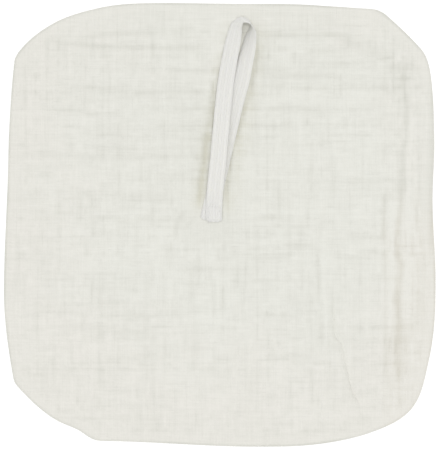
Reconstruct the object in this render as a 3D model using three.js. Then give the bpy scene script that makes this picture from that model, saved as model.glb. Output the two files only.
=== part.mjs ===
// A square of crinkled muslin with rounded corners, lying face up. A narrow woven tape is sewn on at its
// middle: the two ends are stacked and stitched down, and between them the tape runs out as a crossed
// loop whose free bend stands up on its edge.
// Millimetres, +Z up. The origin is under the middle of the cloth, on the surface it lies on.
import * as THREE from "three";

// Driving dimensions of the cloth
const CLOTH_WIDTH = 293.6;
const CLOTH_LENGTH = 301.8;
const CLOTH_THICKNESS = 1.8;
const EDGE_ROUND = 0.9;
const HEM_WIDTH = 7;
const CORNER_DRAW = 0.11;
const COLUMN_STEP = 9.4;
const FOLD_COLUMN_STEP = 2.3;
const ROW_STEP = 3.5;

// Driving dimensions of the tape
const TAPE_WIDTH = 11.1;
const TAPE_THICKNESS = 1.0;
const TAPE_SELVEDGE = 0.5;
const TAPE_END_ROUND = 2.4;
const TAPE_STEPS = 6;
const SEAM_GAP = 0.35;

// Where the tape ends are sewn down, and how far round them the cloth is pulled flat
const SEAM_X = -5.5;
const SEAM_Y = 8;
const SEAM_FLAT = 11;
const SEAM_FADE = 26;

// Colours and surface
const CLOTH_LOOK = { color: 0xe6e5dd, roughness: 0.95, metalness: 0 };
const TAPE_LOOK = { color: 0xe8e8e3, roughness: 0.85, metalness: 0 };

const HALF_WIDTH = CLOTH_WIDTH / 2;
const HALF_LENGTH = CLOTH_LENGTH / 2;
const CLOTH_TOP = CLOTH_THICKNESS;
const LOWER_LAYER = SEAM_GAP + TAPE_THICKNESS / 2;
const UPPER_LAYER = LOWER_LAYER + TAPE_THICKNESS + SEAM_GAP;

// The outline, anticlockwise. across and along are shares of the half width and half length, and
// heading is the way the edge runs there, in degrees from +X.
const OUTLINE = [
  { at: "right side, slight dip", across: 0.986, along: 0.113, heading: 90 },
  { at: "right side, upper", across: 0.994, along: 0.384, heading: 91 },
  { at: "upper right corner, going in", across: 0.98, along: 0.655, heading: 97 },
  { at: "upper right corner, cut start", across: 0.933, along: 0.792, heading: 131 },
  { at: "upper right corner, cut end", across: 0.777, along: 0.941, heading: 138 },
  { at: "upper right corner, coming out", across: 0.705, along: 0.973, heading: 176 },
  { at: "top, right", across: 0.441, along: 0.99, heading: 176 },
  { at: "top, middle", across: 0.136, along: 0.996, heading: 180 },
  { at: "top, left", across: -0.254, along: 1, heading: 180 },
  { at: "upper left corner, going in", across: -0.563, along: 0.977, heading: 193 },
  { at: "upper left corner, middle", across: -0.777, along: 0.905, heading: 210 },
  { at: "upper left corner, point", across: -0.933, along: 0.777, heading: 234 },
  { at: "upper left corner, coming out", across: -0.952, along: 0.736, heading: 264 },
  { at: "left side, upper", across: -0.98, along: 0.292, heading: 269 },
  { at: "left side, lower", across: -1, along: -0.305, heading: 270 },
  { at: "lower left corner, going in", across: -0.956, along: -0.693, heading: 280 },
  { at: "lower left corner, cut start", across: -0.931, along: -0.735, heading: 313 },
  { at: "lower left corner, middle", across: -0.763, along: -0.877, heading: 329 },
  { at: "lower left corner, dent", across: -0.654, along: -0.926, heading: 332 },
  { at: "lower left corner, nub", across: -0.576, along: -0.97, heading: 345 },
  { at: "bottom, left", across: -0.504, along: -0.975, heading: 359 },
  { at: "bottom, middle", across: 0.17, along: -1, heading: 0 },
  { at: "bottom, right", across: 0.45, along: -0.989, heading: 7 },
  { at: "lower right corner, going in", across: 0.706, along: -0.934, heading: 20 },
  { at: "lower right corner, middle", across: 0.892, along: -0.825, heading: 52 },
  { at: "lower right corner, coming out", across: 0.969, along: -0.609, heading: 77 },
  { at: "right side, lower", across: 1, along: -0.252, heading: 90 },
];

// The main folds, each a straight run from one end to the other. reach is how far it spreads to each
// side, and a trough has a negative height.
const FOLDS = [
  { fold: "right pleat, upper trough", x0: 125.5, y0: 100, x1: 122.5, y1: 8, reach: 2.6, height: -0.45 },
  { fold: "right pleat, lower trough", x0: 122, y0: 14, x1: 120.5, y1: -98, reach: 3.2, height: -0.5 },
  { fold: "right pleat, inner ridge", x0: 117, y0: 16, x1: 115.5, y1: -80, reach: 2.8, height: 0.7 },
  { fold: "right pleat, outer ridge", x0: 130.5, y0: 74, x1: 126.5, y1: -64, reach: 3, height: 0.55 },
  { fold: "inner right trough", x0: 110.5, y0: 44, x1: 110, y1: -12, reach: 2.4, height: -0.4 },
  { fold: "outer right trough", x0: 137, y0: 85, x1: 135, y1: -10, reach: 2.2, height: -0.3 },
  { fold: "mid right trough", x0: 66.4, y0: -24, x1: 69.3, y1: -82, reach: 3, height: -0.4 },
  { fold: "mid right ridge", x0: 71.5, y0: -3, x1: 74, y1: -60, reach: 3, height: 0.4 },
  { fold: "lower left trough", x0: -49.7, y0: -30, x1: -50.5, y1: -108, reach: 3.2, height: -0.4 },
  { fold: "upper left trough", x0: -69, y0: 78, x1: -68.5, y1: 23, reach: 3.4, height: -0.3 },
  { fold: "top left crease", x0: -122, y0: 125.5, x1: -72, y1: 120.5, reach: 2.6, height: -0.5 },
  { fold: "top left crease, inner end", x0: -74, y0: 120.7, x1: -13, y1: 121, reach: 2.6, height: -0.45 },
  { fold: "top middle crease", x0: -86, y0: 129, x1: -19, y1: 133.2, reach: 2.4, height: -0.45 },
  { fold: "top right crease", x0: 79, y0: 109.8, x1: 117, y1: 113.5, reach: 2.4, height: -0.4 },
  { fold: "top right crease, inner", x0: 60, y0: 118.2, x1: 86, y1: 118, reach: 2.2, height: -0.35 },
  { fold: "right row", x0: 54, y0: 93.4, x1: 138, y1: 93.4, reach: 2.6, height: -0.35 },
  { fold: "left row", x0: -115, y0: 95.8, x1: -59, y1: 90.3, reach: 2.6, height: -0.4 },
  { fold: "left row, inner end", x0: -62, y0: 90.5, x1: -10, y1: 91, reach: 2.6, height: -0.35 },
  { fold: "left middle row", x0: -95, y0: 64.5, x1: -13, y1: 64.5, reach: 2.8, height: -0.45 },
  { fold: "row under the seam", x0: -19, y0: -30, x1: 27, y1: -30, reach: 2.8, height: -0.45 },
  { fold: "row left of the seam", x0: -85, y0: -43.6, x1: -58, y1: -43.6, reach: 2.6, height: -0.35 },
  { fold: "lower left row", x0: -78, y0: -61.6, x1: -24, y1: -61.6, reach: 2.8, height: -0.4 },
  { fold: "lower right row", x0: 20, y0: -61.6, x1: 51, y1: -61.6, reach: 2.6, height: -0.35 },
  { fold: "pull beside the seam", x0: -23.7, y0: 10, x1: -32, y1: -2, reach: 2.4, height: -0.4 },
];

// The crinkle: soft waves in uneven rows, and fainter ones in columns. lean shifts a wave as it runs.
const CRINKLE_ROWS = [
  { pitch: 13.6, height: 0.14, lean: 3.2, run: 131, start: 0.4 },
  { pitch: 17.9, height: 0.1, lean: 4.4, run: 87, start: 2.1 },
];
const CRINKLE_COLUMNS = [{ pitch: 34, height: 0.1, lean: 5, run: 103, start: 1.2 }];

// The tape's route, from the end sewn down on top to the end under it. rise is the height of its middle
// over the cloth. bank lifts the edge on the inner side of the loop, in degrees, and past 90 the tape has
// turned over, so the under end lies on its other face.
const TAPE_ROUTE = [
  { at: "upper end", x: -3.9, y: 2, rise: UPPER_LAYER, bank: 0 },
  { at: "upper end, seam middle", x: -4, y: 8, rise: UPPER_LAYER, bank: 0 },
  { at: "upper end, leaving the seam", x: -3.8, y: 14, rise: UPPER_LAYER + 0.15, bank: 0 },
  { at: "upper leg, lifting", x: -3.3, y: 22.5, rise: 3.6, bank: 0 },
  { at: "upper leg, over the crossing", x: -2.3, y: 33, rise: 5, bank: 0 },
  { at: "upper leg, highest", x: -1, y: 45, rise: 5.5, bank: 0 },
  { at: "upper leg, falling", x: 0.4, y: 61, rise: 4.8, bank: 0 },
  { at: "upper leg, low", x: 2.2, y: 80, rise: 3.4, bank: 3 },
  { at: "upper leg, lowest", x: 4.3, y: 98.5, rise: 2.7, bank: 9 },
  { at: "upper leg, starting to bank", x: 6.4, y: 112, rise: 2.5, bank: 12 },
  { at: "upper leg, banking", x: 7.7, y: 121, rise: 2.8, bank: 17 },
  { at: "bend, coming in", x: 9.7, y: 130.5, rise: 3.9, bank: 33 },
  { at: "bend, first quarter", x: 11.4, y: 135.6, rise: 4.9, bank: 47 },
  { at: "bend, top", x: 15.4, y: 138.9, rise: 5.9, bank: 65 },
  { at: "bend, last quarter", x: 19.8, y: 136.6, rise: 6.3, bank: 81 },
  { at: "bend, going out, on edge", x: 20.6, y: 131.2, rise: 6.1, bank: 96 },
  { at: "lower leg, banked", x: 19.5, y: 125.4, rise: 5, bank: 137 },
  { at: "lower leg, falling", x: 17.8, y: 118.3, rise: 3.8, bank: 167 },
  { at: "lower leg, settling", x: 16.7, y: 112, rise: 3.2, bank: 169 },
  { at: "lower leg, nearly flat", x: 14.6, y: 98.5, rise: 2.9, bank: 171 },
  { at: "lower leg, flat", x: 11.5, y: 86, rise: 2.4, bank: 175 },
  { at: "lower leg, middle", x: 6.2, y: 64, rise: 1.8, bank: 179 },
  { at: "lower leg, under the crossing", x: -0.8, y: 34, rise: 1.6, bank: 180 },
  { at: "lower leg, coming down", x: -3.6, y: 22, rise: 1.1, bank: 180 },
  { at: "lower end, leaving the upper end", x: -5.5, y: 14, rise: LOWER_LAYER + 0.05, bank: 180 },
  { at: "lower end, seam middle", x: -6.9, y: 8, rise: LOWER_LAYER + 0.02, bank: 180 },
  { at: "lower end", x: -8.1, y: 2.8, rise: LOWER_LAYER, bank: 180 },
];

function smooth(from, to, value) {
  return THREE.MathUtils.smoothstep(value, from, to);
}

// The outline as closely spaced points, each stretch a smooth curve between two rows of the table
function outlinePoints(stepsPerStretch) {
  const points = [];
  OUTLINE.forEach((row, i) => {
    const next = OUTLINE[(i + 1) % OUTLINE.length];
    const start = new THREE.Vector2(row.across * HALF_WIDTH, row.along * HALF_LENGTH);
    const end = new THREE.Vector2(next.across * HALF_WIDTH, next.along * HALF_LENGTH);
    const handle = start.distanceTo(end) / 3;
    const leaving = THREE.MathUtils.degToRad(row.heading);
    const arriving = THREE.MathUtils.degToRad(next.heading);
    const curve = new THREE.CubicBezierCurve(
      start,
      new THREE.Vector2(start.x + handle * Math.cos(leaving), start.y + handle * Math.sin(leaving)),
      new THREE.Vector2(end.x - handle * Math.cos(arriving), end.y - handle * Math.sin(arriving)),
      end,
    );
    points.push(...curve.getPoints(stepsPerStretch).slice(0, -1));
  });
  return points;
}

// The distance from the middle to the edge, for a bearing in radians
function makeReach() {
  const bearings = outlinePoints(48).map((p) => ({ angle: p.angle(), radius: p.length() }));
  bearings.sort((a, b) => a.angle - b.angle);
  const turn = 2 * Math.PI;
  const last = bearings[bearings.length - 1];
  bearings.push({ angle: bearings[0].angle + turn, radius: bearings[0].radius });
  bearings.unshift({ angle: last.angle - turn, radius: last.radius });
  return (bearing) => {
    const angle = THREE.MathUtils.euclideanModulo(bearing, turn);
    const above = bearings.findIndex((b) => b.angle > angle);
    const from = bearings[above - 1];
    const to = bearings[above];
    return THREE.MathUtils.mapLinear(angle, from.angle, to.angle, from.radius, to.radius);
  };
}

// A plain rounded square: straight threads in the middle, drawn in only near the corners
function roundedSquare(u, v) {
  const x = u * (1 - CORNER_DRAW * Math.abs(u) * v ** 4);
  const y = v * (1 - CORNER_DRAW * Math.abs(v) * u ** 4);
  return new THREE.Vector2(x * HALF_WIDTH, y * HALF_LENGTH);
}

// Where a thread crossing lies; u and v run from -1 to 1 between opposite edges
function threadPoint(u, v, reach) {
  const ring = Math.max(Math.abs(u), Math.abs(v), 1e-6);
  const edge = roundedSquare(u / ring, v / ring);
  const stretch = reach(edge.angle()) / edge.length();
  return roundedSquare(u, v).multiplyScalar(1 + (stretch - 1) * ring ** 3);
}

function foldHeight(x, y) {
  let height = 0;
  for (const fold of FOLDS) {
    const dx = fold.x1 - fold.x0;
    const dy = fold.y1 - fold.y0;
    const length = Math.hypot(dx, dy);
    const along = ((x - fold.x0) * dx + (y - fold.y0) * dy) / length;
    const across = ((x - fold.x0) * dy - (y - fold.y0) * dx) / length;
    const taper = Math.min(length / 3, 14);
    const ends = smooth(-taper / 2, taper / 2, along) * smooth(-taper / 2, taper / 2, length - along);
    height += fold.height * ends * Math.exp(-((across / fold.reach) ** 2));
  }
  return height;
}

function waveHeight(waves, along, across) {
  let height = 0;
  for (const wave of waves) {
    const shift = wave.lean * Math.sin((2 * Math.PI * along) / wave.run + wave.start);
    height += wave.height * Math.cos((2 * Math.PI * (across + shift)) / wave.pitch);
  }
  return height;
}

// The height of the cloth's face over its plain thickness; edgeDistance is measured in from the edge
function relief(x, y, edgeDistance) {
  const crinkle = waveHeight(CRINKLE_ROWS, x, y) + waveHeight(CRINKLE_COLUMNS, y, x);
  const calm = smooth(SEAM_FLAT, SEAM_FADE, Math.hypot(x - SEAM_X, y - SEAM_Y));
  const hem = smooth(HEM_WIDTH * 0.4, HEM_WIDTH * 1.6, edgeDistance);
  return (crinkle * hem + foldHeight(x, y) * (0.35 + 0.65 * hem)) * calm;
}

function spread(from, to, step) {
  const count = Math.round((to - from) / step);
  return Array.from({ length: count }, (_, i) => from + ((to - from) * i) / count);
}

// Grid lines across the cloth, closer together over the right pleat
function columnShares() {
  const inner = HALF_WIDTH - EDGE_ROUND;
  const lines = [
    -HALF_WIDTH,
    ...spread(-inner, 60, COLUMN_STEP),
    ...spread(60, 78, FOLD_COLUMN_STEP * 2),
    ...spread(78, 106, COLUMN_STEP),
    ...spread(106, 133, FOLD_COLUMN_STEP),
    ...spread(133, inner, FOLD_COLUMN_STEP * 2),
    inner,
    HALF_WIDTH,
  ];
  return lines.map((x) => x / HALF_WIDTH);
}

function rowShares() {
  const inner = HALF_LENGTH - EDGE_ROUND;
  const lines = [-HALF_LENGTH, ...spread(-inner, inner, ROW_STEP), inner, HALF_LENGTH];
  return lines.map((y) => y / HALF_LENGTH);
}

function meshFrom(name, vertices, triangles, look) {
  const geometry = new THREE.BufferGeometry();
  geometry.setAttribute("position", new THREE.Float32BufferAttribute(vertices.flat(), 3));
  geometry.setIndex(triangles.flat());
  geometry.computeVertexNormals();
  const mesh = new THREE.Mesh(geometry, new THREE.MeshStandardMaterial(look));
  mesh.name = name;
  return mesh;
}

// The cloth with its turned edge: a relief face on top, a rounded rim, and a flat underside
function makeCloth() {
  const reach = makeReach();
  const us = columnShares();
  const vs = rowShares();
  const vertices = [];
  const triangles = [];
  const lastColumn = us.length - 1;
  const lastRow = vs.length - 1;
  const index = (i, j) => j * us.length + i;
  const plan = (i, j) => new THREE.Vector2(vertices[index(i, j)][0], vertices[index(i, j)][1]);

  vs.forEach((v, j) => {
    us.forEach((u, i) => {
      const p = threadPoint(u, v, reach);
      const onRim = i === 0 || j === 0 || i === lastColumn || j === lastRow;
      const edgeDistance = reach(p.angle()) - p.length();
      const z = onRim ? CLOTH_TOP / 2 : CLOTH_TOP + relief(p.x, p.y, edgeDistance);
      vertices.push([p.x, p.y, z]);
    });
  });
  for (let j = 0; j < lastRow; j += 1) {
    for (let i = 0; i < lastColumn; i += 1) {
      const [a, b, c, d] = [index(i, j), index(i + 1, j), index(i + 1, j + 1), index(i, j + 1)];
      const firstWay = plan(i, j).distanceTo(plan(i + 1, j + 1));
      const otherWay = plan(i + 1, j).distanceTo(plan(i, j + 1));
      if (firstWay < otherWay) {
        triangles.push([a, b, c], [a, c, d]);
      } else {
        triangles.push([a, b, d], [b, c, d]);
      }
    }
  }

  const rim = [
    ...us.slice(1).map((_, i) => index(i, 0)),
    ...vs.slice(1).map((_, j) => index(lastColumn, j)),
    ...us.slice(1).map((_, i) => index(lastColumn - i, lastRow)),
    ...vs.slice(1).map((_, j) => index(0, lastRow - j)),
  ];
  const firstUnder = vertices.length;
  rim.forEach((k) => {
    const [x, y] = vertices[k];
    const shrink = 1 - EDGE_ROUND / Math.hypot(x, y);
    vertices.push([x * shrink, y * shrink, 0]);
  });
  const centre = vertices.length;
  vertices.push([0, 0, 0]);
  rim.forEach((k, n) => {
    const next = (n + 1) % rim.length;
    triangles.push([k, firstUnder + n, firstUnder + next], [k, firstUnder + next, rim[next]]);
    triangles.push([firstUnder + n, centre, firstUnder + next]);
  });
  return meshFrom("cloth", vertices, triangles, CLOTH_LOOK);
}

// The tape's cross-section, flat with thin selvedges: side is to the right of its run, face is up
function tapeSection() {
  const edge = TAPE_WIDTH / 2;
  const shoulder = edge - TAPE_SELVEDGE;
  const half = TAPE_THICKNESS / 2;
  return [
    { side: edge, face: 0 },
    { side: shoulder, face: half },
    { side: -shoulder, face: half },
    { side: -edge, face: 0 },
    { side: -shoulder, face: -half },
    { side: shoulder, face: -half },
  ];
}

// How far the rounded corners of a tape end draw its edges in, at a distance from that end
function endDraw(distance) {
  const short = Math.max(TAPE_END_ROUND - distance, 0);
  return TAPE_END_ROUND - Math.sqrt(TAPE_END_ROUND ** 2 - short ** 2);
}

// The tape in one length, swept along its route
function makeTape() {
  const route = new THREE.CatmullRomCurve3(
    TAPE_ROUTE.map((row) => new THREE.Vector3(row.x, row.y, CLOTH_TOP + row.rise)),
  );
  const stretches = TAPE_ROUTE.length - 1;
  const stations = stretches * TAPE_STEPS;
  const section = tapeSection();
  const sides = section.length;
  const up = new THREE.Vector3(0, 0, 1);
  const ends = [route.getPoint(0), route.getPoint(1)];
  const vertices = [];
  const triangles = [];

  for (let s = 0; s <= stations; s += 1) {
    const share = s / stations;
    const stretch = Math.min(Math.floor(share * stretches), stretches - 1);
    const part = share * stretches - stretch;
    const bankDegrees = THREE.MathUtils.lerp(TAPE_ROUTE[stretch].bank, TAPE_ROUTE[stretch + 1].bank, part);
    const bank = THREE.MathUtils.degToRad(bankDegrees);
    const middle = route.getPoint(share);
    const run = route.getTangent(share);
    const level = new THREE.Vector3().crossVectors(run, up).normalize();
    const square = new THREE.Vector3().crossVectors(level, run).normalize();
    const side = level.clone().multiplyScalar(Math.cos(bank)).addScaledVector(square, Math.sin(bank));
    const face = square.clone().multiplyScalar(Math.cos(bank)).addScaledVector(level, -Math.sin(bank));
    const toEnd = Math.min(middle.distanceTo(ends[0]), middle.distanceTo(ends[1]));
    side.multiplyScalar(1 - endDraw(toEnd) / (TAPE_WIDTH / 2));
    for (const corner of section) {
      const p = middle.clone().addScaledVector(side, corner.side).addScaledVector(face, corner.face);
      vertices.push([p.x, p.y, p.z]);
    }
  }
  for (let s = 0; s < stations; s += 1) {
    for (let k = 0; k < sides; k += 1) {
      const next = (k + 1) % sides;
      const [a, b] = [s * sides + k, s * sides + next];
      const [c, d] = [a + sides, b + sides];
      triangles.push([a, c, b], [b, c, d]);
    }
  }
  const lastRing = stations * sides;
  for (let k = 1; k < sides - 1; k += 1) {
    triangles.push([0, k, k + 1], [lastRing, lastRing + k + 1, lastRing + k]);
  }
  return meshFrom("loop_tape", vertices, triangles, TAPE_LOOK);
}

const part = new THREE.Group();
part.name = "muslin_cloth";
part.add(makeCloth(), makeTape());

export default part;
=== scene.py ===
import math

import bpy
import numpy as np
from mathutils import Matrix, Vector


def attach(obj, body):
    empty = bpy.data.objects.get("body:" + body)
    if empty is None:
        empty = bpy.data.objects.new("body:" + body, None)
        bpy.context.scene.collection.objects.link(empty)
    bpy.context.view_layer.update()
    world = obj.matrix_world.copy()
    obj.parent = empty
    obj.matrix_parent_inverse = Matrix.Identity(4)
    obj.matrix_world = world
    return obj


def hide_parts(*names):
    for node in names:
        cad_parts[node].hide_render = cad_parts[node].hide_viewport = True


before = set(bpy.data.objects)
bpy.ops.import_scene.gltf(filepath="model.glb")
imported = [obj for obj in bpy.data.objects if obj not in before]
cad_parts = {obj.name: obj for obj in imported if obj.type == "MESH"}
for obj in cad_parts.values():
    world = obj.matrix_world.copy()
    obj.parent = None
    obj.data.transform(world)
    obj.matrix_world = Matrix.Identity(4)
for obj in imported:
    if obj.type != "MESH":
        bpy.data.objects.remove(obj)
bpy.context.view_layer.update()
mm = 0.001
print("frame loaded:", ", ".join(sorted(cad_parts)))


# shader helpers

class Wire:
    # a socket of a finish; arithmetic on it adds Math nodes
    def __init__(self, finish, socket):
        self.finish = finish
        self.socket = socket

    def calc(self, operation, *others):
        return self.finish.calc(operation, self, *others)

    def __add__(self, other):
        return self.calc("ADD", other)

    def __radd__(self, other):
        return self.calc("ADD", other)

    def __sub__(self, other):
        return self.calc("SUBTRACT", other)

    def __rsub__(self, other):
        return self.finish.calc("SUBTRACT", other, self)

    def __mul__(self, other):
        return self.calc("MULTIPLY", other)

    def __rmul__(self, other):
        return self.calc("MULTIPLY", other)

    def __truediv__(self, other):
        return self.calc("DIVIDE", other)

    def __rtruediv__(self, other):
        return self.finish.calc("DIVIDE", other, self)

    def __abs__(self):
        return self.calc("ABSOLUTE")

    # held between 0 and 1
    def clip(self):
        return self.calc("MAXIMUM", 0.0).calc("MINIMUM", 1.0)


class Finish:
    # a material with one Principled shader; fixed values go straight on the shader's sockets
    def __init__(self, name, fixed):
        self.material = bpy.data.materials.new(name)
        self.material.use_nodes = True
        self.tree = self.material.node_tree
        self.tree.nodes.clear()
        self.shader = self.tree.nodes.new("ShaderNodeBsdfPrincipled")
        output = self.tree.nodes.new("ShaderNodeOutputMaterial")
        self.tree.links.new(self.shader.outputs[0], output.inputs[0])
        for socket, value in fixed.items():
            self.shader.inputs[socket].default_value = value

    def node(self, kind, settings=None, sockets=None, out=0):
        made = self.tree.nodes.new(kind)
        for key, value in (settings or {}).items():
            setattr(made, key, value)
        for key, value in (sockets or {}).items():
            self.plug(made.inputs[key], value)
        return Wire(self, made.outputs[out])

    def plug(self, socket, value):
        if isinstance(value, Wire):
            self.tree.links.new(value.socket, socket)
        else:
            socket.default_value = value

    def calc(self, operation, *values):
        return self.node("ShaderNodeMath", {"operation": operation}, dict(enumerate(values)))

    def feed(self, socket, value):
        self.plug(self.shader.inputs[socket], value)

    def vector(self, x, y):
        return self.node("ShaderNodeCombineXYZ", None, {0: x, 1: y})

    def split(self, vector):
        parts = self.node("ShaderNodeSeparateXYZ", None, {0: vector}).socket.node
        return [Wire(self, part) for part in parts.outputs]

    # noise from 0 to 1; stretch is the size of its grain in each direction, in millimetres
    def grain(self, x, y, stretch, detail=2.0):
        at = self.vector(x / stretch[0], y / stretch[1])
        sockets = {"Vector": at, "Scale": 1.0, "Detail": detail, "Roughness": 0.5}
        return self.node("ShaderNodeTexNoise", {"noise_dimensions": "2D"}, sockets)

    def blend(self, share, first, second):
        return self.node("ShaderNodeMix", {"data_type": "RGBA"}, {0: share, 6: first, 7: second}, out=2)

    def bump(self, height, distance):
        return self.node("ShaderNodeBump", None, {"Height": height, "Distance": distance, "Strength": 1.0})


# mesh helpers

def smoothStep(low, high, value):
    t = np.clip((value - low) / (high - low), 0, 1)
    return t * t * (3 - 2 * t)


# a smooth wandering line of numbers from -1 to 1, one lattice value per unit of t
def wander(t, rng):
    lattice = rng.uniform(-1, 1, 64)
    cell = np.floor(t).astype(int)
    part = t - cell
    part = part * part * (3 - 2 * part)
    return lattice[cell % 64] * (1 - part) + lattice[(cell + 1) % 64] * part


# smooth uneven ground from -1 to 1, with bumps of the given size
def uneven(x, y, size, rng):
    lattice = rng.uniform(-1, 1, (64, 64))
    column, row = np.floor(x / size[0]).astype(int), np.floor(y / size[1]).astype(int)
    s, t = x / size[0] - column, y / size[1] - row
    s, t = s * s * (3 - 2 * s), t * t * (3 - 2 * t)
    near = lattice[row % 64, column % 64] * (1 - s) + lattice[row % 64, (column + 1) % 64] * s
    far = lattice[(row + 1) % 64, column % 64] * (1 - s) + lattice[(row + 1) % 64, (column + 1) % 64] * s
    return near * (1 - t) + far * t


def makePiece(name, points, faces, material):
    mesh = bpy.data.meshes.new(name)
    mesh.from_pydata((np.asarray(points) * mm).tolist(), [], [tuple(map(int, f)) for f in faces])
    mesh.polygons.foreach_set("use_smooth", [True] * len(mesh.polygons))
    mesh.materials.append(material)
    mesh.validate()
    mesh.update()
    piece = bpy.data.objects.new(name, mesh)
    bpy.context.scene.collection.objects.link(piece)
    return piece


# muslin cloth

muslin = {
    "width": 293.6,
    "length": 301.8,
    "thickness": 1.8,
    "edgeRound": 1.1,
    "hemWidth": 7.0,
    "hemRaise": 0.14,
    "hemCrinkle": 0.3,
    "hemFold": 0.35,
    "deepest": -1.15,
    "cornerDraw": 0.11,
    "columns": 261,
    "rows": 265,
    "rimLines": (0, 0.18, 0.5, 1.1, 2.0),
    "innerFrom": 3.2,
    "seamAt": (-5.5, 8.0),
    "seamFlat": 11.0,
    "seamFade": 26.0,
    "underShare": 0.45,
    "underLift": 0.1,
    "underHighest": 0.6,
    # painted shade along the turned edge, and how much darker the hollows are painted
    "turnedShade": 0.5,
    "turnedUneven": 0.3,
    "turnedWidth": (0.5, 2.2),
    "creaseLevel": 0.35,
    "creaseDepth": 1.4,
    "seed": 23,
    "edgeSeed": 8,
    "colour": (0.806, 0.806, 0.748, 1.0),
    "warmColour": (0.815, 0.80, 0.745, 1.0),
    # colours of the painted shade in hollows, of the painted shadow beside the tape, and of the painted
    # shade along the pleat
    "hollowShadeColour": (0.683, 0.681, 0.622, 1.0),
    "besideTapeShadowColour": (0.685, 0.672, 0.572, 1.0),
    "pleatShadeColour": (0.696, 0.676, 0.605, 1.0),
    "yarnPitch": 0.52,
    "puckerBump": 0.00056,
}

# where the cloth is warmer, outward from a point, and where painted shade darkens its hollows more:
# a painted shadow beside the slanting tape, and a warmer painted shade along the lower part of the pleat
muslinTintAndShade = {
    "warmCentre": (20.0, 32.0),
    "warmReach": 150.0,
    "warmGain": 1.3,
    "warmGrain": 1.2,
    "warmStart": 1.05,
    "tapeSlant": 0.16,
    "tapeShift": 5.3,
    "besideReach": 9.0,
    "besideLevel": 2.2,
    "besideFrom": 4.0,
    "besideTo": 140.0,
    "pleatFrom": 108.0,
    "pleatBelow": 30.0,
}

# the edge, anticlockwise: share of the half width, share of the half length, heading in degrees
clothEdge = [
    (0.986, 0.113, 90), (0.994, 0.384, 91), (0.98, 0.655, 97), (0.933, 0.792, 131),
    (0.777, 0.941, 138), (0.705, 0.973, 176), (0.441, 0.99, 176), (0.136, 0.996, 180),
    (-0.254, 1.0, 180), (-0.563, 0.977, 193), (-0.777, 0.905, 210), (-0.933, 0.777, 234),
    (-0.952, 0.736, 264), (-0.98, 0.292, 269), (-1.0, -0.305, 270), (-0.956, -0.693, 280),
    (-0.931, -0.735, 313), (-0.763, -0.877, 329), (-0.654, -0.926, 332), (-0.576, -0.97, 345),
    (-0.504, -0.975, 359), (0.17, -1.0, 0), (0.45, -0.989, 7), (0.706, -0.934, 20),
    (0.892, -0.825, 52), (0.969, -0.609, 77), (1.0, -0.252, 90),
]

# the solid's main folds, drawn finer: the points each runs through, its reach to each side, its height
mainFolds = [
    ([(125.2, 112), (125.1, 94), (126.8, 84), (127.5, 76), (126.6, 61), (125, 50), (123.8, 30)], 1.5, -0.7),
    ([(123.8, 30), (122.5, 10), (120.8, -4), (119.8, -14), (121.2, -22), (123.5, -27)], 2.2, -0.75),
    ([(123.5, -27), (121.2, -41), (120.4, -51), (121.9, -68), (121.2, -88), (121.9, -104)], 2.7, -0.78),
    ([(117.5, 16), (117, -20), (115.8, -50), (115.5, -80)], 2.4, 0.4),
    ([(131, 74), (129.5, 20), (127.5, -20), (126.5, -64)], 3.2, 0.35),
    ([(112.6, 22), (111.5, 7), (111.2, -12)], 1.7, -0.6),
    ([(133, 14), (134.4, 0), (137.8, -16)], 1.5, -0.5),
    ([(112.6, -22), (112.8, -60), (113, -88), (115.6, -118)], 1.3, -0.35),
    ([(66.4, -20), (67, -42)], 1.4, -0.55),
    ([(67, -38), (68, -60), (68.8, -84)], 1.2, -0.3),
    ([(70.2, -4), (71.2, -45), (72.2, -80)], 1.2, 0.3),
    ([(-49.7, -30), (-50.4, -70), (-50.2, -110)], 1.7, -0.26),
    ([(-69, 80), (-68.6, 50), (-68.4, 22)], 1.8, -0.16),
    ([(-122, 125.5), (-95, 123), (-72, 120.6), (-40, 120.4), (-12, 121.2)], 2.0, -0.5),
    ([(-86, 129), (-55, 130.2), (-19, 133.2)], 1.9, -0.45),
    ([(79.5, 110), (103, 110.4)], 1.3, -0.4),
    ([(60, 118.2), (80.5, 118.2)], 1.3, -0.4),
    ([(80, 127), (98, 121.5), (112, 113), (125, 98)], 5.2, -0.26),
    ([(54, 93.2), (96, 93.6), (138, 93.4)], 1.9, -0.35),
    ([(-115, 95.8), (-85, 93), (-59, 90.4), (-10, 91)], 1.9, -0.38),
    ([(-95, 64.3), (-50, 64.8), (-13, 64.4)], 1.6, -0.26),
    ([(-19, -30), (27, -30)], 1.7, -0.34),
    ([(-85, -43.6), (-58, -43.6)], 1.6, -0.22),
    ([(-78, -61.4), (-50, -61.8), (-24, -61.5)], 1.6, -0.26),
    ([(20, -61.6), (51, -61.6)], 1.6, -0.24),
    ([(-23.7, 10), (-28, 4), (-31, -6)], 1.8, -0.5),
]

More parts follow.
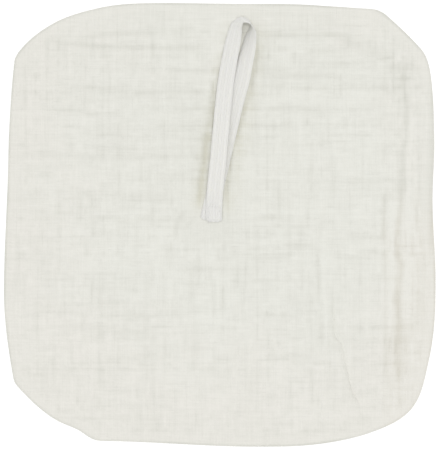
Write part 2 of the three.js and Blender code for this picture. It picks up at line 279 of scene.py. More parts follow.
# smaller creases that only show close up, in the same columns
fineCreases = [
    ([(-59.4, 119), (-59.4, 98)], 1.6, -0.3), ([(-19.6, -31), (-19.6, -55)], 1.6, -0.3),
    ([(55.2, 2), (55.2, -19)], 1.6, -0.3), ([(15.8, -40), (15.8, -66)], 1.6, -0.3),
    ([(76.6, 50), (76.8, 34), (76.6, 19)], 1.2, -0.3), ([(-32, 105), (-2, 105)], 1.6, -0.35),
    ([(-47, 78.8), (-9, 78.8)], 1.6, -0.35), ([(-92, 52), (-58, 52.5)], 1.6, -0.3),
    ([(-88, 45.5), (-30, 45)], 1.6, -0.3), ([(-80, 34), (-24, 34)], 1.6, -0.3),
    ([(-96, 20.5), (-36, 20)], 1.6, -0.3), ([(27, 129), (82, 129)], 1.6, -0.3),
    ([(29, 102), (75, 102)], 1.6, -0.3), ([(32, 80), (70, 80)], 1.6, -0.3),
    ([(20, -22), (48, -22)], 1.6, -0.3), ([(44, -15), (68, -15)], 1.6, -0.3),
    ([(-81, -73), (-51, -73)], 1.6, -0.3), ([(-72, -90), (-30, -90)], 1.6, -0.28),
    ([(30, -89), (62, -89)], 1.6, -0.28), ([(70, 130.2), (79.5, 130)], 1.4, -0.35),
    ([(87.2, 127.5), (87.2, 120)], 1.0, -0.4), ([(90.8, 126), (91, 119.5)], 1.0, -0.35),
    ([(94.2, 125), (94.4, 120)], 1.0, -0.3), ([(101.5, 126), (101.8, 119.5)], 1.1, -0.35),
    ([(106, 125), (106.4, 119.5)], 1.0, -0.3), ([(110.5, 124), (110.7, 119)], 1.0, -0.3),
    ([(107, 112.5), (117.5, 113.9)], 1.1, -0.6), ([(117.8, 111.5), (118, 104)], 1.0, -0.25),
    ([(121.8, 111), (122, 104)], 1.0, -0.5), ([(127.2, 110.5), (127, 104)], 1.0, -0.35),
    ([(120, 99.8), (130, 100)], 1.3, -0.45), ([(123.4, -54), (131, -53.6)], 0.9, -0.25),
    ([(123.6, -57.4), (132, -57)], 0.9, -0.25), ([(124, -60.8), (131, -60.6)], 0.9, -0.25),
    ([(124.4, -64.2), (132, -64)], 0.9, -0.25), ([(124.4, -67.8), (130, -67.4)], 0.9, -0.2),
]

# the furrow on the left of the loose yarn, and the rise that it lies on
yarnFurrow = [
    ([
        (74.6, -41), (75.9, -53), (75.9, -65), (77.2, -75), (81, -81), (84, -94), (89.4, -114),
        (94.8, -125),
    ], 0.9, -0.32),
    ([
        (76.2, -41), (77.5, -53), (77.5, -65), (78.8, -75), (82.6, -81), (85.6, -94), (91, -114),
        (96.4, -125),
    ], 0.9, 0.36),
]

# where the seam gathers the cloth beside the tape, and where the right edge rolls down
seamPuckers = [
    ([(-3.9, 98), (-5.9, 80), (-9.2, 58)], 1.9, -0.32),
    ([(-8.8, 62), (-11.4, 40), (-13.4, 22), (-14.4, 13)], 2.3, -1.0),
    ([(26, 121), (23.3, 105), (19.9, 88), (14.4, 71), (9.7, 54), (6.8, 43)], 1.7, -0.4),
    ([(6.8, 44), (5.2, 30), (4.8, 20), (5, 12)], 1.6, -0.45),
    ([(5.4, 12.5), (5.2, 2.5)], 1.3, -0.3), ([(-16.5, 6), (-24, -4)], 1.6, -0.25),
    ([(2, -3), (9, -10)], 1.6, -0.2), ([(144.3, 90), (143.8, 58), (142.9, 17), (143.6, -18)], 1.7, -0.5),
]

# the two layers are caught together along uneven rows and columns, and puff up between them; pitch and
# reach are drawn from a range, and run, fade and beatRun are the lengths over which a line changes
crinkleSpread = 160.0
beatRun = 5
crinkleRows = {
    "pitch": (2.3, 4.4),
    "reach": (0.8, 1.2),
    "depth": 0.5,
    "sink": 0.18,
    "wander": 1.0,
    "run": 46,
    "fade": 24,
    "beat": 0.55,
}
crinkleColumns = {
    "pitch": (2.5, 4.8),
    "reach": (0.8, 1.2),
    "depth": 0.58,
    "sink": 0.18,
    "wander": 0.9,
    "run": 52,
    "fade": 24,
    "beat": 0.55,
}
# longer rows, mostly in the upper half
longRows = {
    "pitch": (5.4, 8.4),
    "reach": (1.2, 1.7),
    "depth": 0.37,
    "sink": 0.3,
    "wander": 1.6,
    "run": 80,
    "fade": 70,
    "beat": 0.2,
    "lowerShare": 0.35,
    "fullFrom": (-25, 15),
}
crinklePuff = {"size": (8.5, 7.0), "height": 0.08, "level": 0.2}


def edgePoints(perStretch=48):
    half = np.array([muslin["width"], muslin["length"]]) / 2
    points = []
    for i, (across, along, heading) in enumerate(clothEdge):
        nextAcross, nextAlong, nextHeading = clothEdge[(i + 1) % len(clothEdge)]
        start = np.array([across, along]) * half
        end = np.array([nextAcross, nextAlong]) * half
        handle = np.linalg.norm(end - start) / 3
        leave, arrive = math.radians(heading), math.radians(nextHeading)
        first = start + handle * np.array([math.cos(leave), math.sin(leave)])
        second = end - handle * np.array([math.cos(arrive), math.sin(arrive)])
        t = np.linspace(0, 1, perStretch, endpoint=False)[:, None]
        leaving = (1 - t) ** 3 * start + 3 * t * (1 - t) ** 2 * first
        points.append(leaving + 3 * t * t * (1 - t) * second + t ** 3 * end)
    return np.vstack(points)


edgeLine = edgePoints()
edgeAngles = np.arctan2(edgeLine[:, 1], edgeLine[:, 0])
edgeRadii = np.hypot(edgeLine[:, 0], edgeLine[:, 1])


def edgeReach(angle):
    return np.interp(angle, edgeAngles, edgeRadii, period=2 * math.pi)


# straight threads in the middle, drawn in only near the corners
def roundedSquare(u, v):
    x = u * (1 - muslin["cornerDraw"] * np.abs(u) * v ** 4)
    y = v * (1 - muslin["cornerDraw"] * np.abs(v) * u ** 4)
    return x * muslin["width"] / 2, y * muslin["length"] / 2


def threadPoints(u, v):
    ring = np.maximum(np.maximum(np.abs(u), np.abs(v)), 1e-6)
    ex, ey = roundedSquare(u / ring, v / ring)
    far = np.maximum(np.hypot(ex, ey), 1e-6)
    stretch = 1 + (edgeReach(np.arctan2(ey, ex)) / far - 1) * ring ** 3
    x, y = roundedSquare(u, v)
    return x * stretch, y * stretch


# creases are sharp at the bottom and soften out to both sides
def creaseShape(offset):
    return np.exp(-np.abs(offset) ** 1.5)


longestTaper = 14


def foldHeight(x, y, folds):
    height = np.zeros_like(x)
    for path, reach, rise in folds:
        line = np.array(path, float)
        upright = np.ptp(line[:, 1]) > np.ptp(line[:, 0])
        line = line[:, ::-1] if upright else line
        line = line[np.argsort(line[:, 0])]
        along, across = (y, x) if upright else (x, y)
        start, end = line[0], line[-1]
        length = end[0] - start[0]
        lean = math.hypot(1, (end[1] - start[1]) / length)
        offset = (across - np.interp(along, line[:, 0], line[:, 1])) / lean
        taper = min(length / 3, longestTaper)
        ends = smoothStep(-taper / 2, taper / 2, along - start[0])
        ends = ends * smoothStep(-taper / 2, taper / 2, end[0] - along)
        height += rise * ends * creaseShape(offset / reach)
    return height


# each line rises and sinks along its run, and sinks more than it rises
def crinkleHeight(along, across, lines, rng):
    height = np.zeros_like(along)
    at = -crinkleSpread
    while at < crinkleSpread:
        at += rng.uniform(*lines["pitch"])
        reach = rng.uniform(*lines["reach"])
        depth = lines["depth"] * rng.uniform(0.4, 1.0)
        shift = lines["wander"] * wander(along / lines["run"] + 40 + rng.uniform(0, 20), rng)
        swell = 0.6 * wander(along / lines["fade"] + 40 + rng.uniform(0, 20), rng) - lines["sink"]
        swell += lines["beat"] * wander(along / beatRun + 60, rng)
        height += depth * swell * creaseShape((across - at - shift) / reach)
    return height


def clothRelief(x, y, inset):
    rng = np.random.default_rng(muslin["seed"])
    crinkle = crinkleHeight(x, y, crinkleRows, rng) + crinkleHeight(y, x, crinkleColumns, rng)
    crinkle += crinklePuff["level"] + crinklePuff["height"] * uneven(x, y, crinklePuff["size"], rng)
    lowerShare = longRows["lowerShare"]
    longShare = lowerShare + (1 - lowerShare) * smoothStep(*longRows["fullFrom"], y)
    crinkle += crinkleHeight(x, y, longRows, rng) * longShare
    away = np.hypot(x - muslin["seamAt"][0], y - muslin["seamAt"][1])
    calm = smoothStep(muslin["seamFlat"], muslin["seamFade"], away)
    hem = smoothStep(muslin["hemWidth"] * 0.4, muslin["hemWidth"] * 1.6, inset)
    folds = foldHeight(x, y, mainFolds) + foldHeight(x, y, fineCreases) + foldHeight(x, y, yarnFurrow)
    band = muslin["hemRaise"] * (1 - smoothStep(muslin["hemWidth"] - 1.5, muslin["hemWidth"] + 1.0, inset))
    onHem, foldsOnHem = muslin["hemCrinkle"], muslin["hemFold"]
    rise = (crinkle * (onHem + (1 - onHem) * hem) + folds * (foldsOnHem + (1 - foldsOnHem) * hem)) * calm
    rise = rise + foldHeight(x, y, seamPuckers) + band
    return np.maximum(rise, muslin["deepest"])


def gridLines(half, count):
    edge = half - np.array(muslin["rimLines"])
    innerHalf = half - muslin["innerFrom"]
    inner = np.linspace(-innerHalf, innerHalf, count)
    return np.concatenate([-edge, inner, edge[::-1]]) / half


def makeCloth(material):
    us = gridLines(muslin["width"] / 2, muslin["columns"])
    vs = gridLines(muslin["length"] / 2, muslin["rows"])
    u, v = np.meshgrid(us, vs)
    x, y = threadPoints(u, v)
    angle = np.arctan2(y, x)
    inset = np.maximum(edgeReach(angle) - np.hypot(x, y), 0)
    rise = clothRelief(x, y, inset)

    # rounded turned edge: both faces meet on the rim at half the thickness
    half = muslin["thickness"] / 2
    roundShare = np.sqrt(1 - (1 - np.clip(inset / muslin["edgeRound"], 0, 1)) ** 2)
    top = half + (half + rise) * roundShare
    hollow = np.clip(muslin["underShare"] * (rise + muslin["underLift"]), 0, muslin["underHighest"])
    under = half - (half - hollow) * roundShare

    # the underside keeps every second grid line, and meets the top on the rim
    rowCount, columnCount = x.shape
    topIndex = np.arange(rowCount * columnCount).reshape(rowCount, columnCount)
    inside = np.zeros_like(topIndex, bool)
    inside[2:-2:2, 2:-2:2] = True
    underIndex = topIndex.copy()
    underIndex[inside] = topIndex.size + np.arange(inside.sum())
    points = np.vstack([
        np.column_stack([x.ravel(), y.ravel(), top.ravel()]),
        np.column_stack([x[inside], y[inside], under[inside]]),
    ])
    corners = [topIndex[:-1, :-1], topIndex[:-1, 1:], topIndex[1:, 1:], topIndex[1:, :-1]]
    faces = np.stack(corners, -1).reshape(-1, 4).tolist()
    lastRow, lastColumn = rowCount - 1, columnCount - 1
    for j in range(0, lastRow, 2):
        for i in range(0, lastColumn, 2):
            loop = [(j, i), (j, i + 1), (j, i + 2), (j + 1, i + 2)]
            loop += [(j + 2, i + 2), (j + 2, i + 1), (j + 2, i), (j + 1, i)]
            kept = []
            for row, column in loop:
                if (row + column) % 2 == 0 or row in (0, lastRow) or column in (0, lastColumn):
                    kept.append((row, column))
            faces.append([underIndex[place] for place in reversed(kept)])
    piece = makePiece("muslinCloth", points, faces, material)

    # painted shade: how deep each point lies sets how much darker it is painted; the turned edge is painted
    # darker as if it were deep
    along = wander(angle * 9 + 30, np.random.default_rng(muslin["edgeSeed"]))
    paintedRimShade = muslin["turnedShade"] + muslin["turnedUneven"] * along
    paintedRimShade = paintedRimShade * (1 - smoothStep(*muslin["turnedWidth"], inset))
    depth = np.clip(muslin["creaseLevel"] - rise / muslin["creaseDepth"] + paintedRimShade, 0, 1)
    layer = piece.data.attributes.new("paintedCreaseShade", "FLOAT", "POINT")
    layer.data.foreach_set("value", np.concatenate([depth.ravel(), depth[inside]]))
    return piece


def muslinFinish():
    soft = {"Sheen Weight": 0.12, "Sheen Roughness": 0.5, "Specular IOR Level": 0.25}
    finish = Finish("muslin", {"Roughness": 0.92, **soft})
    x, y, z = finish.split(finish.node("ShaderNodeTexCoord", out=3))
    x, y = x * 1000.0, y * 1000.0

    # uneven yarns: long thin streaks of thicker and thinner thread both ways
    weftStreak = finish.grain(x, y, (22.0, 0.75), detail=2.0)
    warpStreak = finish.grain(x + 300.0, y, (0.75, 26.0), detail=2.0)
    weftSlub = finish.grain(x, y + 90.0, (9.0, 0.5), detail=1.0)
    slub = weftSlub * finish.grain(x + 50.0, y, (0.5, 9.0), detail=1.0)

    # open plain weave
    pitch = muslin["yarnPitch"]
    bendX = (finish.grain(x, y, (6.0, 6.0)) - 0.5) * 1.1
    bendY = (finish.grain(x + 70.0, y, (6.0, 6.0)) - 0.5) * 1.1
    warp = ((x + bendX) * (math.pi / pitch)).calc("SINE")
    weft = ((y + bendY) * (math.pi / pitch)).calc("SINE")
    weave = abs(warp) * 0.5 + abs(weft) * 0.5 + warp * weft * 0.25

    # fine puckers between the layers
    rowPucker = finish.grain(x + 20.0, y, (26.0, 2.4), detail=3.0)
    columnPucker = finish.grain(x, y + 60.0, (2.5, 30.0), detail=3.0)
    patch = finish.grain(x, y, (38.0, 38.0), detail=2.0)

    height = rowPucker * 1.2 + columnPucker * 1.0 + (weftStreak + warpStreak) * 0.12 + weave * 0.10
    finish.feed("Normal", finish.bump(height, muslin["puckerBump"]))
    shade = (weftStreak - 0.5) * 0.4 + (warpStreak - 0.5) * 0.4 + (patch - 0.5) * 0.1 + slub * 0.25
    # painted shade: hollows and the turned edge are painted towards the hollow shade colour
    paintedCreaseShade = finish.node("ShaderNodeAttribute", {"attribute_name": "paintedCreaseShade"}, out=2)
    share = (paintedCreaseShade * 1.1 - shade).clip()

    # a warmer tone towards the edge
    tintAndShade = muslinTintAndShade
    fromX, fromY = x - tintAndShade["warmCentre"][0], y - tintAndShade["warmCentre"][1]
    outward = (fromX * fromX + fromY * fromY) / tintAndShade["warmReach"] ** 2
    mottle = finish.grain(x + 500.0, y, (60.0, 60.0), detail=1.0)
    warmth = (outward * tintAndShade["warmGain"] + mottle * tintAndShade["warmGrain"] - tintAndShade["warmStart"]).clip()
    tone = finish.blend(warmth, muslin["colour"], muslin["warmColour"])

    # painted shadow and shade: the hollows beside the tape are painted a deeper olive shade, and those
    # along the pleat a warmer one
    fromTape = abs(x - y * tintAndShade["tapeSlant"] + tintAndShade["tapeShift"])
    tapeShadowShare = (tintAndShade["besideLevel"] - fromTape / tintAndShade["besideReach"]).clip()
    tapeShadowShare = tapeShadowShare * ((y - tintAndShade["besideFrom"]) * 0.1).clip() * ((tintAndShade["besideTo"] - y) * 0.05).clip()
    # painted shade along the lower part of the pleat, in a warmer colour
    pleatShadeShare = ((x - tintAndShade["pleatFrom"]) * 0.12).clip() * ((tintAndShade["pleatBelow"] - y) * 0.03).clip()
    hollow = finish.blend(tapeShadowShare, muslin["hollowShadeColour"], muslin["besideTapeShadowColour"])
    hollow = finish.blend(pleatShadeShare, hollow, muslin["pleatShadeColour"])
    finish.feed("Base Color", finish.blend(share, tone, hollow))
    finish.feed("Roughness", 0.88 + (weave - 0.5) * 0.08)
    return finish.material


# a loose yarn caught under the top layer, standing up as a thin wavy line
looseYarn = {
    "path": [
        (76.1, -39), (77.4, -53), (77.4, -65), (78.7, -75), (82.5, -81), (85.5, -94), (88.3, -106),
        (90.9, -114), (96.3, -125),
    ],
    "radius": 0.48,
    "sunk": 0.02,
    "endSunk": 0.3,
    "endThin": 0.25,
    "fadeIn": 12,
    "fadeOut": 6,
    "swell": (0.8, 0.25),
    "swellRun": 3.0,
    "wiggle": 0.25,
    "wave": 5.5,
    "step": 0.8,
    "seed": 11,
    "sides": 8,
}


def makeYarn(material):
    path = np.array(looseYarn["path"], float)
    along = np.concatenate([[0], np.cumsum(np.linalg.norm(np.diff(path, axis=0), axis=1))])
    t = np.arange(0, along[-1], looseYarn["step"])
    rng = np.random.default_rng(looseYarn["seed"])
    x = np.interp(t, along, path[:, 0]) + looseYarn["wiggle"] * wander(t / looseYarn["wave"], rng)
    y = np.interp(t, along, path[:, 1])
    inset = np.maximum(edgeReach(np.arctan2(y, x)) - np.hypot(x, y), 0)
    fade = smoothStep(0, looseYarn["fadeIn"], t) * smoothStep(0, looseYarn["fadeOut"], t[-1] - t)
    level, swing = looseYarn["swell"]
    thin = looseYarn["endThin"]
    swell = looseYarn["radius"] * (level + swing * wander(t / looseYarn["swellRun"] + 5, rng))
    swell = swell * (thin + (1 - thin) * fade)
    z = muslin["thickness"] + clothRelief(x, y, inset)
    z = z - looseYarn["sunk"] - looseYarn["endSunk"] * (1 - fade)
    run = np.gradient(np.column_stack([x, y]), axis=0)
    run /= np.linalg.norm(run, axis=1, keepdims=True)
    turns = np.linspace(0, 2 * math.pi, looseYarn["sides"], endpoint=False)
    rings = []
    for a in turns:
        out, up = swell * math.cos(a), swell * math.sin(a)
        rings.append(np.column_stack([x + run[:, 1] * out, y - run[:, 0] * out, z + up]))
    index = np.arange(len(t) * len(turns)).reshape(len(t), len(turns))
    turned = np.roll(index, -1, axis=1)
    sides = np.stack([index[:-1], index[1:], turned[1:], turned[:-1]], -1).reshape(-1, 4).tolist()
    ends = [index[0].tolist(), index[-1][::-1].tolist()]
    return makePiece("looseYarn", np.stack(rings, 1).reshape(-1, 3), sides + ends, material)


muslinMaterial = muslinFinish()
clothPiece = makeCloth(muslinMaterial)
yarnPiece = makeYarn(muslinMaterial)
print("cloth made:", len(clothPiece.data.polygons), "faces")


# loop tape

loopTape = {
    "width": 11.1,
    "thickness": 1.0,
    "softThickness": 0.7,
    "sewnThickness": 0.5,
    "seamGap": 0.35,
    "endRound": 2.4,
    "stepsPerStretch": 14,
    "acrossSteps": 12,
    "seamPress": (0.58, 1.32),
    "sewnUntil": (13, 24),
    "legSettle": 0.6,
    "settleUntil": (84, 104),
    "bendPress": 0.2,
    "bendFrom": (118, 130),
    "edgeRipple": 0.10,
    "rippleFrom": (16, 40),
    "softFrom": (8, 24),
    "edgeSquareness": 7,
    "seed": 5,
    "colour": (0.875, 0.87, 0.84, 1.0),
    # colour of the twill, and of the painted shade in its valleys and on every second band
    "weaveAndShadeColour": (0.78, 0.775, 0.74, 1.0),
    "twillPitch": 0.95,
    "twillBand": 1.85,
    "valleyWidth": 0.3,
    "yarnPitch": 0.46,
    "selvedgeFrom": 4.9,
    "weaveBump": 0.00018,
}
lowerLayer = loopTape["seamGap"] + loopTape["thickness"] / 2
upperLayer = lowerLayer + loopTape["thickness"] + loopTape["seamGap"]

# the tape's route, near the solid's: x, y, rise over the cloth, and bank in degrees, which lifts the
# edge on the inner side of the loop; past 90 the tape has turned over, earlier here than in the solid
tapeRoute = [
    (-3.9, 2, upperLayer, 0), (-4, 8, upperLayer, 0), (-3.8, 14, upperLayer + 0.15, 0),
    (-3.3, 22.5, 3.6, 0), (-2.3, 33, 5, 0), (-1, 45, 5.5, 0), (0.4, 61, 4.8, 0), (2.2, 80, 3.4, 3),
    (4.3, 98.5, 2.7, 9), (6.6, 112, 2.5, 12), (8.3, 121, 2.8, 16), (10.3, 130.5, 3.9, 31),
    (11.8, 135.6, 4.9, 46), (15.8, 138.9, 5.9, 64), (20.6, 136.9, 6.2, 80), (21.5, 131.2, 5.6, 122),
    (20.6, 125.4, 4.5, 139), (19.2, 118.3, 3.7, 152), (17.6, 112, 3.2, 162), (14.9, 98.5, 2.9, 171),
    (11.5, 86, 2.4, 175), (6.2, 64, 1.8, 179), (-0.8, 34, 1.6, 180), (-3.6, 22, 1.1, 180),
    (-5.5, 14, lowerLayer + 0.05, 180),
    (-6.9, 8, lowerLayer + 0.02, 180), (-8.1, 2.8, lowerLayer, 180),
]


# a smooth curve through the route's points, with the run's direction at each step
def followRoute(points, steps):
    padded = np.vstack([2 * points[0] - points[1], points, 2 * points[-1] - points[-2]])
    places, runs, shares = [], [], []
    for i in range(len(points) - 1):
        p0, p1, p2, p3 = padded[i:i + 4]
        d0, d1, d2 = (math.sqrt(np.linalg.norm(b - a)) for a, b in ((p0, p1), (p1, p2), (p2, p3)))
        m1 = ((p1 - p0) / d0 - (p2 - p0) / (d0 + d1) + (p2 - p1) / d1) * d1
        m2 = ((p2 - p1) / d1 - (p3 - p1) / (d1 + d2) + (p3 - p2) / d2) * d1
        last = i == len(points) - 2
        t = np.linspace(0, 1, steps + 1 if last else steps, endpoint=last)[:, None]
        c2 = -3 * p1 + 3 * p2 - 2 * m1 - m2
        c3 = 2 * p1 - 2 * p2 + m1 + m2
        places.append(p1 + m1 * t + c2 * t ** 2 + c3 * t ** 3)
        runs.append(m1 + 2 * c2 * t + 3 * c3 * t ** 2)
        shares.append(i + t[:, 0])
    runs = np.vstack(runs)
    return np.vstack(places), runs / np.linalg.norm(runs, axis=1, keepdims=True), np.concatenate(shares)


def tapeFrame():
    rows = np.array(tapeRoute, float)
    points = rows[:, :3] + np.array([0, 0, muslin["thickness"]])
    # the sewn ends are pressed down on each other and on the cloth
    onTop = np.arange(len(rows)) < len(rows) / 2
    pressed = 1 - smoothStep(*loopTape["sewnUntil"], rows[:, 1])
    lower, upper = loopTape["seamPress"]
    lying = loopTape["legSettle"] * (1 - pressed) * (1 - smoothStep(*loopTape["settleUntil"], rows[:, 1]))
    points[:, 2] -= np.where(onTop, upper * pressed, lower * pressed + lying)
    # the bend is pressed lower than the solid's
    points[:, 2] -= loopTape["bendPress"] * rows[:, 2] * smoothStep(*loopTape["bendFrom"], rows[:, 1])
    places, runs, shares = followRoute(points, loopTape["stepsPerStretch"])
    bank = np.radians(np.interp(shares, np.arange(len(rows)), rows[:, 3]))[:, None]
    level = np.cross(runs, [0, 0, 1])
    level /= np.linalg.norm(level, axis=1, keepdims=True)
    square = np.cross(level, runs)
    bendShare = smoothStep(*loopTape["bendFrom"], places[:, 1:2]) * loopTape["bendPress"]
    side = level * np.cos(bank) + square * np.sin(bank) * (1 - bendShare)
    face = square * np.cos(bank) - level * np.sin(bank)
    return places, side, face


def makeTape(material):
    places, side, face = tapeFrame()
    run = np.concatenate([[0], np.cumsum(np.linalg.norm(np.diff(places, axis=0), axis=1))])
    rng = np.random.default_rng(loopTape["seed"])
    across = np.sin(np.linspace(-math.pi / 2, math.pi / 2, loopTape["acrossSteps"] + 1))
    swell = np.sqrt(np.clip(1 - np.abs(across) ** loopTape["edgeSquareness"], 0, 1))
    ring = list(zip(across, swell)) + list(zip(across[-2:0:-1], -swell[-2:0:-1]))

    free = smoothStep(*loopTape["rippleFrom"], run) * smoothStep(*loopTape["rippleFrom"], run[-1] - run)
    ripple = loopTape["edgeRipple"] * free
    leftEdge = ripple * wander(run / 9 + 3, rng)
    rightEdge = ripple * wander(run / 11 + 7, rng)
    toEnd = np.minimum(run, run[-1] - run)
    corner = loopTape["endRound"]
    drawn = corner - np.sqrt(corner ** 2 - np.clip(corner - toEnd, 0, corner) ** 2)
    sewn, soft = loopTape["sewnThickness"], loopTape["softThickness"]
    thick = sewn + (soft - sewn) * smoothStep(*loopTape["softFrom"], toEnd)
    points, weave = [], []
    for a, s in ring:
        lift = np.where(a < 0, leftEdge, rightEdge) * abs(a) ** 2
        width = (loopTape["width"] / 2 - drawn) * a
        offset = width[:, None] * side + (lift + s * thick / 2)[:, None] * face
        points.append(places + offset)
        acrossTape = np.full_like(run, a * loopTape["width"] / 2)
        weave.append(np.column_stack([acrossTape, run, np.zeros_like(run)]))
    count, size = len(run), len(ring)
    points = np.stack(points, 1).reshape(-1, 3)
    weave = np.stack(weave, 1).reshape(-1, 3)
    index = np.arange(count * size).reshape(count, size)
    turned = np.roll(index, -1, axis=1)
    sides = np.stack([index[:-1], turned[:-1], turned[1:], index[1:]], -1).reshape(-1, 4)
    faces = [tuple(f) for f in sides] + [tuple(index[0][::-1]), tuple(index[-1])]
    piece = makePiece("loopTape", points, faces, material)
    layer = piece.data.attributes.new("tapeWeave", "FLOAT_VECTOR", "POINT")
    layer.data.foreach_set("vector", weave.ravel())
    return piece, run[-1]


def tapeFinish():
    fixed = {"Roughness": 0.85, "Sheen Weight": 0.1, "Sheen Roughness": 0.4, "Specular IOR Level": 0.3}
    thin = {"Subsurface Weight": 0.6, "Subsurface Radius": (1.0, 1.0, 0.95), "Subsurface Scale": 0.0005}
    finish = Finish("cottonTape", {**fixed, **thin})
    weave = finish.node("ShaderNodeAttribute", {"attribute_name": "tapeWeave"}, out=1)
    across, along, none = finish.split(weave)

    # bands of small chevrons along the length, with plain selvedges
    band = loopTape["twillBand"]
    fromEdge = across + 30.5 * band
    zigzag = fromEdge.calc("PINGPONG", band)
    twill = ((along + zigzag) * (2 * math.pi / loopTape["twillPitch"])).calc("SINE") * 0.5 + 0.5
    valley = (1 - zigzag.calc("MINIMUM", band - zigzag) / loopTape["valleyWidth"]).calc("MAXIMUM", 0.0)
    paintedBandSheen = (fromEdge / (2 * band)).calc("FRACT").calc("GREATER_THAN", 0.5)
    yarns = (across * (2 * math.pi / loopTape["yarnPitch"])).calc("SINE") * 0.5 + 0.5
    selvedge = ((abs(across) - loopTape["selvedgeFrom"]) * 4.0).clip()
    fuzz = finish.grain(across, along, (0.6, 2.2), detail=3.0)
    height = (twill * 0.7 + yarns * 0.3 - valley * 0.6) * (1 - selvedge) + selvedge * yarns + fuzz * 0.5
    finish.feed("Normal", finish.bump(height, loopTape["weaveBump"]))
    # colour: the twill pattern, painted shade in the valleys between bands, and every second band painted
    # darker as a painted sheen difference where the twill runs the other way
    weaveAndShadeShare = ((1 - twill) * 0.35 + valley * 0.35 + paintedBandSheen * 0.18) * (1 - selvedge) + (fuzz - 0.5) * 0.5
    weaveAndShadeShare = weaveAndShadeShare.clip()
    finish.feed("Base Color", finish.blend(weaveAndShadeShare, loopTape["colour"], loopTape["weaveAndShadeColour"]))
    finish.feed("Roughness", 0.8 + fuzz * 0.12)
    return finish.material


tapePiece, tapeLength = makeTape(tapeFinish())
print("tape made:", round(tapeLength, 1), "mm long")


# box of stitches that holds the tape

seamStitches = {
    "stitchPitch": 2.1,
    "stitchLength": 1.6,
    "threadThickness": 0.36,
    "inset": 1.5,
    "boxFrom": 3.4,
    "boxTo": 12.4,
    "lift": 0.02,
    "colour": (0.80, 0.80, 0.775, 1.0),
    "twistColour": (0.62, 0.62, 0.59, 1.0),
    "twistPitch": 0.32,
    "twistBump": 0.00004,
}


def threadFinish():
    finish = Finish("sewingThread", {"Roughness": 0.6, "Sheen Weight": 0.1, "Specular IOR Level": 0.4})
    x, y, z = finish.split(finish.node("ShaderNodeTexCoord", out=3))
    twist = ((x + y) * (1000.0 * 2 * math.pi / seamStitches["twistPitch"])).calc("SINE") * 0.5 + 0.5
    colour = finish.blend(twist * 0.25, seamStitches["colour"], seamStitches["twistColour"])
    finish.feed("Base Color", colour)
    finish.feed("Normal", finish.bump(twist, seamStitches["twistBump"]))
    return finish.material


# the line of sewing: round the box on the top face of the upper tape end
def stitchLine():
    places, side, face = tapeFrame()
    steps = len(places) // 2
    halfWidth = loopTape["width"] / 2 - seamStitches["inset"]
    lift = loopTape["sewnThickness"] / 2 + seamStitches["lift"]

    def on(y, across):
        i = int(np.argmin(np.abs(places[:steps, 1] - y)))
        return places[i] + side[i] * across + face[i] * lift

    low, high = seamStitches["boxFrom"], seamStitches["boxTo"]
    corners = [on(low, -halfWidth), on(high, -halfWidth), on(high, halfWidth), on(low, halfWidth)]
    return np.array(corners)


def stitchTree(material):
    tree = bpy.data.node_groups.new("boxOfStitches", "GeometryNodeTree")
    tree.interface.new_socket("Geometry", in_out="INPUT", socket_type="NodeSocketGeometry")
    tree.interface.new_socket("Geometry", in_out="OUTPUT", socket_type="NodeSocketGeometry")
    sizes = {}
    for name in ("Stitch Pitch", "Stitch Length", "Thread Thickness"):
        socket = tree.interface.new_socket(name, in_out="INPUT", socket_type="NodeSocketFloat")
        sizes[name] = socket.identifier
    add, link = tree.nodes.new, tree.links.new
    source, result = add("NodeGroupInput"), add("NodeGroupOutput")

    resample = add("GeometryNodeResampleCurve")
    resample.mode = "LENGTH"
    link(source.outputs["Geometry"], resample.inputs["Curve"])
    link(source.outputs["Stitch Pitch"], resample.inputs["Length"])

    bead = add("GeometryNodeMeshUVSphere")
    bead.inputs["Segments"].default_value = 8
    bead.inputs["Rings"].default_value = 6
    bead.inputs["Radius"].default_value = 0.5
    smooth = add("GeometryNodeSetShadeSmooth")
    link(bead.outputs["Mesh"], smooth.inputs["Geometry"])
    shape = add("ShaderNodeCombineXYZ")
    link(source.outputs["Thread Thickness"], shape.inputs["X"])
    link(source.outputs["Thread Thickness"], shape.inputs["Y"])
    link(source.outputs["Stitch Length"], shape.inputs["Z"])

    tangent = add("GeometryNodeInputTangent")
    aim = add("FunctionNodeAlignRotationToVector")
    aim.axis = "Z"
    link(tangent.outputs["Tangent"], aim.inputs["Vector"])
    place = add("GeometryNodeInstanceOnPoints")
    link(resample.outputs["Curve"], place.inputs["Points"])
    link(smooth.outputs["Geometry"], place.inputs["Instance"])
    link(aim.outputs["Rotation"], place.inputs["Rotation"])
    link(shape.outputs["Vector"], place.inputs["Scale"])

    real = add("GeometryNodeRealizeInstances")
    link(place.outputs["Instances"], real.inputs["Geometry"])
    paint = add("GeometryNodeSetMaterial")
    paint.inputs["Material"].default_value = material
    link(real.outputs["Geometry"], paint.inputs["Geometry"])
    link(paint.outputs["Geometry"], result.inputs["Geometry"])
    return tree, sizes


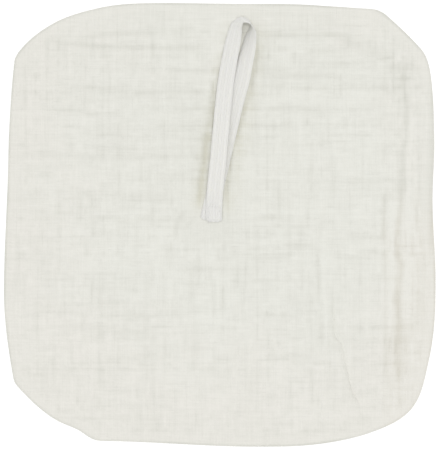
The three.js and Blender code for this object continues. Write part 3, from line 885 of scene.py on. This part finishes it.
def makeStitches(material):
    line = bpy.data.curves.new("stitchLine", "CURVE")
    line.dimensions = "3D"
    spline = line.splines.new("POLY")
    corners = stitchLine()
    spline.points.add(len(corners) - 1)
    for point, corner in zip(spline.points, corners):
        point.co = (*(corner * mm), 1)
    spline.use_cyclic_u = True
    holder = bpy.data.objects.new("stitchLine", line)
    bpy.context.scene.collection.objects.link(holder)
    tree, sizes = stitchTree(material)
    modifier = holder.modifiers.new("stitches", "NODES")
    modifier.node_group = tree
    modifier[sizes["Stitch Pitch"]] = seamStitches["stitchPitch"] * mm
    modifier[sizes["Stitch Length"]] = seamStitches["stitchLength"] * mm
    modifier[sizes["Thread Thickness"]] = seamStitches["threadThickness"] * mm
    done = holder.evaluated_get(bpy.context.evaluated_depsgraph_get())
    mesh = bpy.data.meshes.new_from_object(done)
    bpy.data.objects.remove(holder)
    piece = bpy.data.objects.new("seamStitches", mesh)
    bpy.context.scene.collection.objects.link(piece)
    return piece


stitchPiece = makeStitches(threadFinish())
print("stitches made:", len(stitchPiece.data.polygons), "faces")


# studio

studio = {
    "cameraHeight": 1.7,
    "cameraShift": (0.00014, -0.0001),
    "lens": 200.0,
    "viewHeight": 450 * 0.68 * mm,
    "worldStrength": 0.765,
    "lights": {"rightLight": ((0.5, 0.1, 3.2), 18.5), "leftLight": ((-0.2, -0.1, 3.2), 11.5)},
    "lightSize": 1.0,
    "floorHalf": 3,
    "floorColour": (0.93, 0.93, 0.93, 1.0),
    "floorPaleColour": (0.95, 0.95, 0.95, 1.0),
    "floorLift": 0.16,
}


def makeFloor():
    finish = Finish("paleFloor", {"Roughness": 0.9, "Specular IOR Level": 0.1})
    x, y, z = finish.split(finish.node("ShaderNodeTexCoord", out=3))
    tone = finish.grain(x * 1000.0, y * 1000.0, (400.0, 400.0))
    finish.feed("Base Color", finish.blend(tone * 0.1, studio["floorColour"], studio["floorPaleColour"]))
    finish.shader.inputs["Emission Color"].default_value = (1, 1, 1, 1)
    finish.shader.inputs["Emission Strength"].default_value = studio["floorLift"]
    half = studio["floorHalf"]
    mesh = bpy.data.meshes.new("floor")
    corners = [(-half, -half, 0), (half, -half, 0), (half, half, 0), (-half, half, 0)]
    mesh.from_pydata(corners, [], [(0, 1, 2, 3)])
    mesh.materials.append(finish.material)
    floor = bpy.data.objects.new("floor", mesh)
    bpy.context.scene.collection.objects.link(floor)


def makeLights():
    world = bpy.data.worlds.new("studioWorld")
    world.use_nodes = True
    background = world.node_tree.nodes["Background"]
    background.inputs["Color"].default_value = (1, 1, 1, 1)
    background.inputs["Strength"].default_value = studio["worldStrength"]
    bpy.context.scene.world = world
    for name, (place, power) in studio["lights"].items():
        light = bpy.data.lights.new(name, "AREA")
        light.size = studio["lightSize"]
        light.energy = power
        lamp = bpy.data.objects.new(name, light)
        lamp.location = place
        lamp.rotation_euler = (-Vector(place)).to_track_quat("-Z", "Y").to_euler()
        bpy.context.scene.collection.objects.link(lamp)


def makeCamera():
    data = bpy.data.cameras.new("camera")
    data.sensor_fit = "VERTICAL"
    data.lens = studio["lens"]
    data.sensor_height = studio["lens"] * studio["viewHeight"] / studio["cameraHeight"]
    camera = bpy.data.objects.new("camera", data)
    camera.location = (*studio["cameraShift"], studio["cameraHeight"] + muslin["thickness"] * mm)
    bpy.context.scene.collection.objects.link(camera)
    bpy.context.scene.camera = camera


makeFloor()
makeLights()
makeCamera()
bpy.context.scene.view_settings.view_transform = "Standard"
print("studio made")


# frame

slots = ((clothPiece, "cloth"), (yarnPiece, "cloth"), (tapePiece, "tape"), (stitchPiece, "tape"))
for piece, slot in slots:
    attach(piece, "root")
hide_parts("cloth")
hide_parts("loop_tape")
